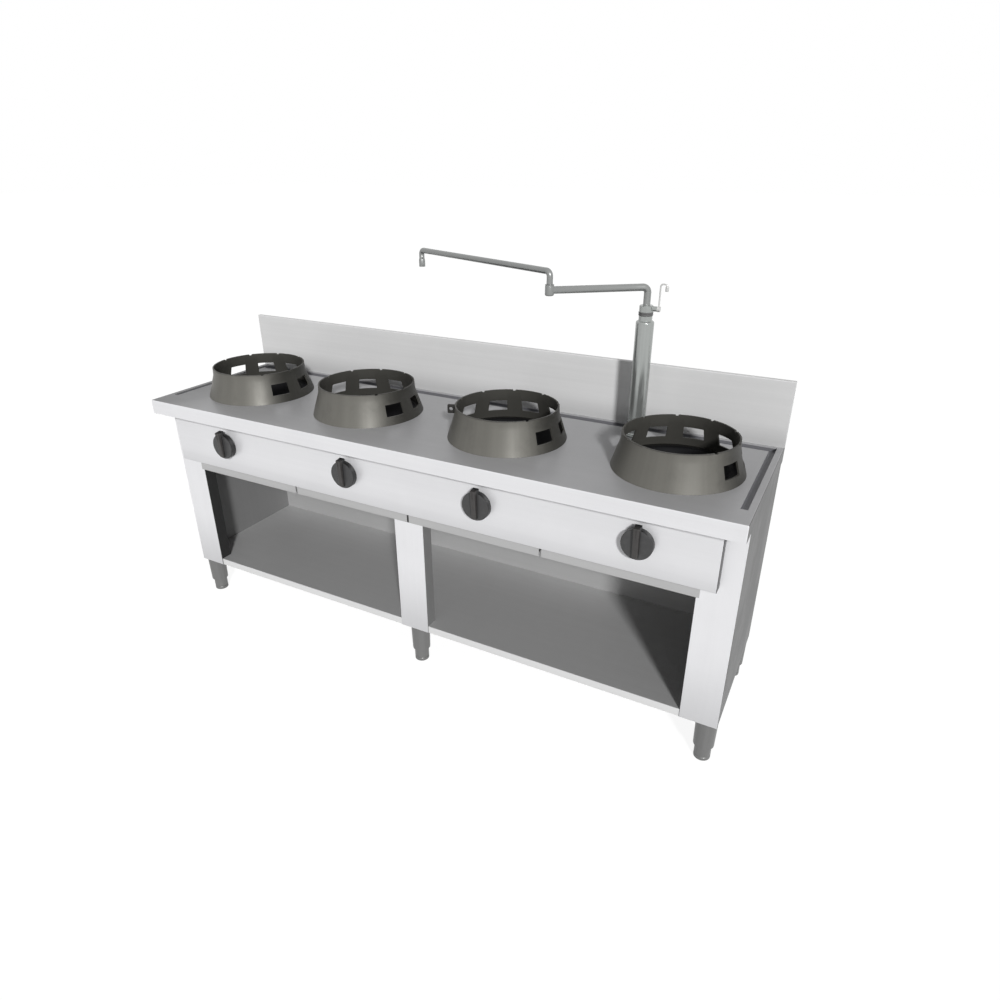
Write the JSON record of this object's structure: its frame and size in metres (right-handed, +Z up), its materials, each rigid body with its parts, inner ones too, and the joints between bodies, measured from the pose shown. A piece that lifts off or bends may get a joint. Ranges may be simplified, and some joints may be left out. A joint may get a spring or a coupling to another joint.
{
  "type": "wok range",
  "caption": "Free-standing gas wok range: stainless worktop with drain channel, raised back, loose wok rings, control knobs, pull-out drip trays, open base and a swinging water column.",
  "frame": {"origin": "on the floor under the middle of the worktop", "axes": "+Z up, -Y towards the cook (front), +X to the right seen from the front"},
  "size_m": [2.1, 0.585, 1.362],
  "materials": {
    "brushed_top": "brushed stainless sheet, satin",
    "brushed_panel": "brushed stainless sheet, satin",
    "satin_tube": "satin drawn tube",
    "foot_steel": "satin stainless foot",
    "wok_ring_iron": "cast iron, matt, burnt",
    "cast_burner": "cast iron, matt",
    "black_enamel": "black enamelled bowl",
    "knob_plastic": "charcoal moulded knob",
    "brass_fittings": "machined brass",
    "plated_steel": "zinc plated steel",
    "dark_seal": "dark swivel seal"
  },
  "bodies": {
    "range": {"back_panel": "brushed_panel", "backsplash": "brushed_panel", "bezels": "plated_steel", "bottom_shelf": "brushed_panel", "burner_1": "cast_burner", "burner_2": "cast_burner", "burner_3": "cast_burner", "burner_4": "cast_burner", "burner_bowls": "black_enamel", "burner_rails": "plated_steel", "centre_upright": "brushed_panel", "control_panel": "brushed_panel", "drain_pipe": "satin_tube", "feed_pipes": "plated_steel", "foot_sleeves": "foot_steel", "gas_manifold": "plated_steel", "gas_taps": "brass_fittings", "injectors": "brass_fittings", "left_side_panel": "brushed_panel", "left_upright": "brushed_panel", "manifold_brackets": "plated_steel", "nuts": "plated_steel", "pilots": "brass_fittings", "right_side_panel": "brushed_panel", "right_upright": "brushed_panel", "thermocouples": "plated_steel", "tray_cross_rails": "brushed_panel", "tray_runners": "brushed_panel", "water_column": "satin_tube", "water_pipe": "brass_fittings", "worktop": "brushed_top", "worktop_rails": "brushed_panel"},
    "drip_tray_1": {"drip_tray_1": "brushed_panel"},
    "drip_tray_2": {"drip_tray_2": "brushed_panel"},
    "drip_tray_3": {"drip_tray_3": "brushed_panel"},
    "drip_tray_4": {"drip_tray_4": "brushed_panel"},
    "foot_1": {"foot_1": "foot_steel"},
    "foot_2": {"foot_2": "foot_steel"},
    "foot_3": {"foot_3": "foot_steel"},
    "foot_4": {"foot_4": "foot_steel"},
    "foot_5": {"foot_5": "foot_steel"},
    "foot_6": {"foot_6": "foot_steel"},
    "knob_1": {"knob_1": "knob_plastic"},
    "knob_2": {"knob_2": "knob_plastic"},
    "knob_3": {"knob_3": "knob_plastic"},
    "knob_4": {"knob_4": "knob_plastic"},
    "lever": {"lever": "satin_tube"},
    "lower_arm": {"lower_arm": "satin_tube", "swivel_seal": "dark_seal", "swivel_valve": "satin_tube"},
    "spindle_1": {"spindle_1": "plated_steel"},
    "spindle_2": {"spindle_2": "plated_steel"},
    "spindle_3": {"spindle_3": "plated_steel"},
    "spindle_4": {"spindle_4": "plated_steel"},
    "strainer": {"strainer": "satin_tube"},
    "upper_arm": {"upper_arm": "satin_tube"},
    "wok_ring_1": {"wok_ring_1": "wok_ring_iron"},
    "wok_ring_2": {"wok_ring_2": "wok_ring_iron"},
    "wok_ring_3": {"wok_ring_3": "wok_ring_iron"},
    "wok_ring_4": {"wok_ring_4": "wok_ring_iron"}
  },
  "joints": [
    {"name": "knob_turn_1", "type": "hinge", "parent": "range", "child": "spindle_1", "pos_m": [-0.741, -0.25, 0.718], "axis": [0, -1, 0], "range_deg": [0, 210]},
    {"name": "knob_push_1", "type": "slide", "parent": "spindle_1", "child": "knob_1", "axis": [0, 1, 0], "range_m": [0, 0.005], "stiffness_N_per_m": 900},
    {"name": "knob_turn_2", "type": "hinge", "parent": "range", "child": "spindle_2", "pos_m": [-0.205, -0.25, 0.718], "axis": [0, -1, 0], "range_deg": [0, 210]},
    {"name": "knob_push_2", "type": "slide", "parent": "spindle_2", "child": "knob_2", "axis": [0, 1, 0], "range_m": [0, 0.005], "stiffness_N_per_m": 900},
    {"name": "knob_turn_3", "type": "hinge", "parent": "range", "child": "spindle_3", "pos_m": [0.287, -0.25, 0.718], "axis": [0, -1, 0], "range_deg": [0, 210]},
    {"name": "knob_push_3", "type": "slide", "parent": "spindle_3", "child": "knob_3", "axis": [0, 1, 0], "range_m": [0, 0.005], "stiffness_N_per_m": 900},
    {"name": "knob_turn_4", "type": "hinge", "parent": "range", "child": "spindle_4", "pos_m": [0.777, -0.25, 0.718], "axis": [0, -1, 0], "range_deg": [0, 210]},
    {"name": "knob_push_4", "type": "slide", "parent": "spindle_4", "child": "knob_4", "axis": [0, 1, 0], "range_m": [0, 0.005], "stiffness_N_per_m": 900},
    {"name": "ring_lift_1", "type": "slide", "parent": "range", "child": "wok_ring_1", "axis": [0, 0, 1], "range_m": [0, 0.15]},
    {"name": "ring_lift_2", "type": "slide", "parent": "range", "child": "wok_ring_2", "axis": [0, 0, 1], "range_m": [0, 0.15]},
    {"name": "ring_lift_3", "type": "slide", "parent": "range", "child": "wok_ring_3", "axis": [0, 0, 1], "range_m": [0, 0.15]},
    {"name": "ring_lift_4", "type": "slide", "parent": "range", "child": "wok_ring_4", "axis": [0, 0, 1], "range_m": [0, 0.15]},
    {"name": "tray_pull_1", "type": "slide", "parent": "range", "child": "drip_tray_1", "axis": [0, -1, 0], "range_m": [0, 0.38]},
    {"name": "tray_pull_2", "type": "slide", "parent": "range", "child": "drip_tray_2", "axis": [0, -1, 0], "range_m": [0, 0.38]},
    {"name": "tray_pull_3", "type": "slide", "parent": "range", "child": "drip_tray_3", "axis": [0, -1, 0], "range_m": [0, 0.38]},
    {"name": "tray_pull_4", "type": "slide", "parent": "range", "child": "drip_tray_4", "axis": [0, -1, 0], "range_m": [0, 0.38]},
    {"name": "column_swivel", "type": "hinge", "parent": "range", "child": "lower_arm", "pos_m": [0.613, 0.185, 1.221], "axis": [0, 0, 1], "range_deg": [-175, 175]},
    {"name": "arm_swivel", "type": "hinge", "parent": "lower_arm", "child": "upper_arm", "pos_m": [0.382, 0.003, 1.318], "axis": [0, 0, 1], "range_deg": [-110, 230]},
    {"name": "lever_turn", "type": "hinge", "parent": "lower_arm", "child": "lever", "pos_m": [0.646, 0.185, 1.242], "axis": [1, 0, 0], "range_deg": [0, 90]},
    {"name": "strainer_lift", "type": "slide", "parent": "range", "child": "strainer", "axis": [0, 0, 1], "range_m": [0, 0.06]},
    {"name": "foot_thread_1", "type": "hinge", "parent": "range", "child": "foot_1", "pos_m": [-1.014, -0.1795, 0.1], "axis": [0, 0, 1], "continuous": true},
    {"name": "foot_thread_2", "type": "hinge", "parent": "range", "child": "foot_2", "pos_m": [0, -0.1795, 0.1], "axis": [0, 0, 1], "continuous": true},
    {"name": "foot_thread_3", "type": "hinge", "parent": "range", "child": "foot_3", "pos_m": [1.014, -0.1795, 0.1], "axis": [0, 0, 1], "continuous": true},
    {"name": "foot_thread_4", "type": "hinge", "parent": "range", "child": "foot_4", "pos_m": [-1.014, 0.2585, 0.1], "axis": [0, 0, 1], "continuous": true},
    {"name": "foot_thread_5", "type": "hinge", "parent": "range", "child": "foot_5", "pos_m": [0, 0.2585, 0.1], "axis": [0, 0, 1], "continuous": true},
    {"name": "foot_thread_6", "type": "hinge", "parent": "range", "child": "foot_6", "pos_m": [1.014, 0.2585, 0.1], "axis": [0, 0, 1], "continuous": true}
  ]
}
